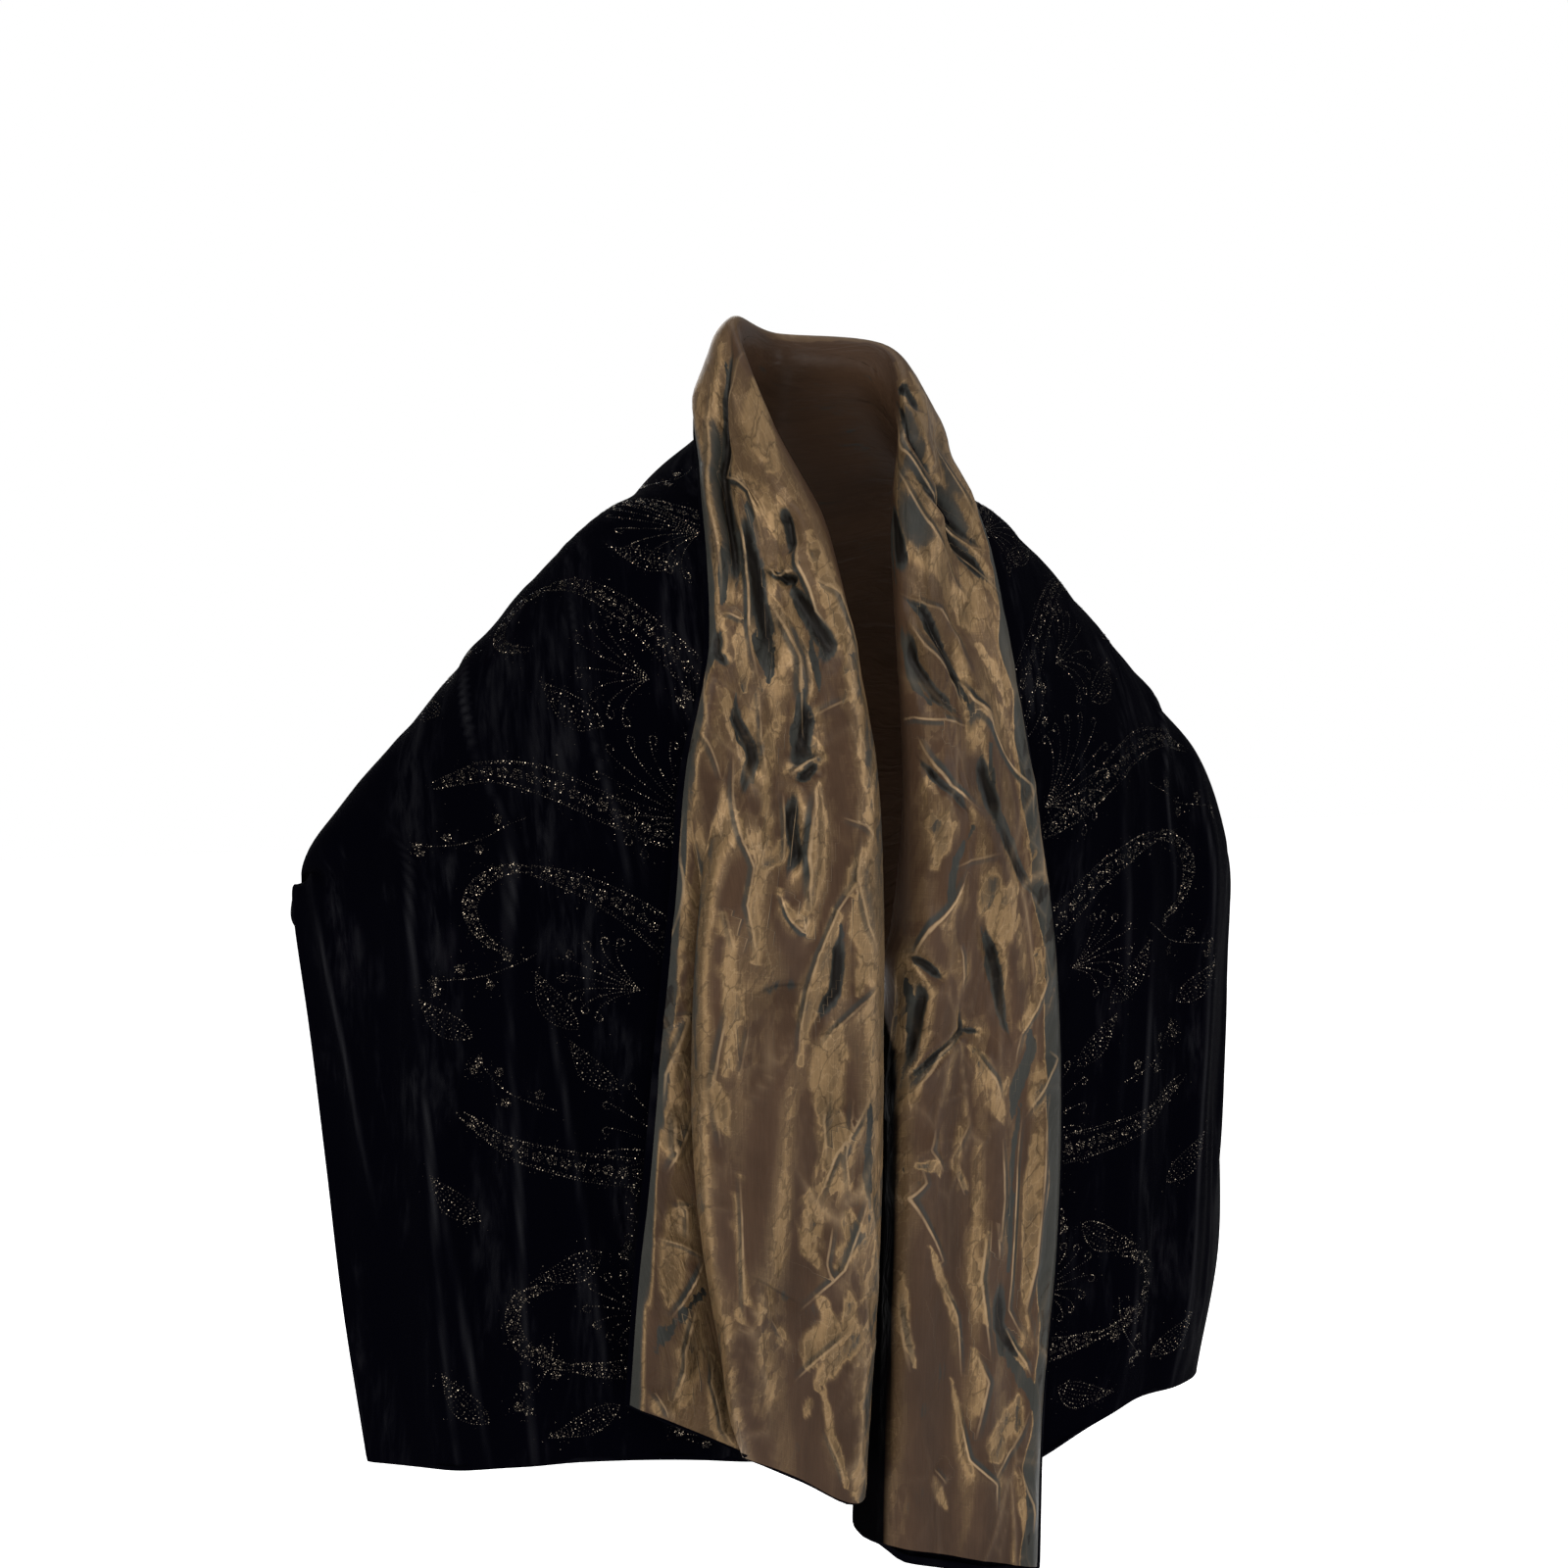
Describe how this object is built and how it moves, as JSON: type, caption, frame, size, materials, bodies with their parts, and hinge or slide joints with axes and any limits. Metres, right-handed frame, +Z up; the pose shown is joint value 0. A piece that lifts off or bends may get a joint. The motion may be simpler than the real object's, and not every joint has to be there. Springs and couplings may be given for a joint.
{
  "type": "evening stole",
  "caption": "Velvet evening stole lined with shot taffeta, worn round the shoulders, its long edge turned out as a standing collar and long lapels.",
  "frame": {"origin": "base of the wearer's neck, midway between the shoulders, where the stole is held", "axes": "+X to the viewer's right seen from the front, +Y towards the back, +Z up"},
  "size_m": [0.6834, 0.2967, 0.8318],
  "materials": {
    "velvet": "black pile velvet with a soft nap and fine dotted glitter scrollwork",
    "taffeta": "crisp shot taffeta, bronze brown with a slate cast at its edges"
  },
  "bodies": {
    "root": {"velvet_face": "velvet", "taffeta_lining": "taffeta"}
  },
  "joints": []
}
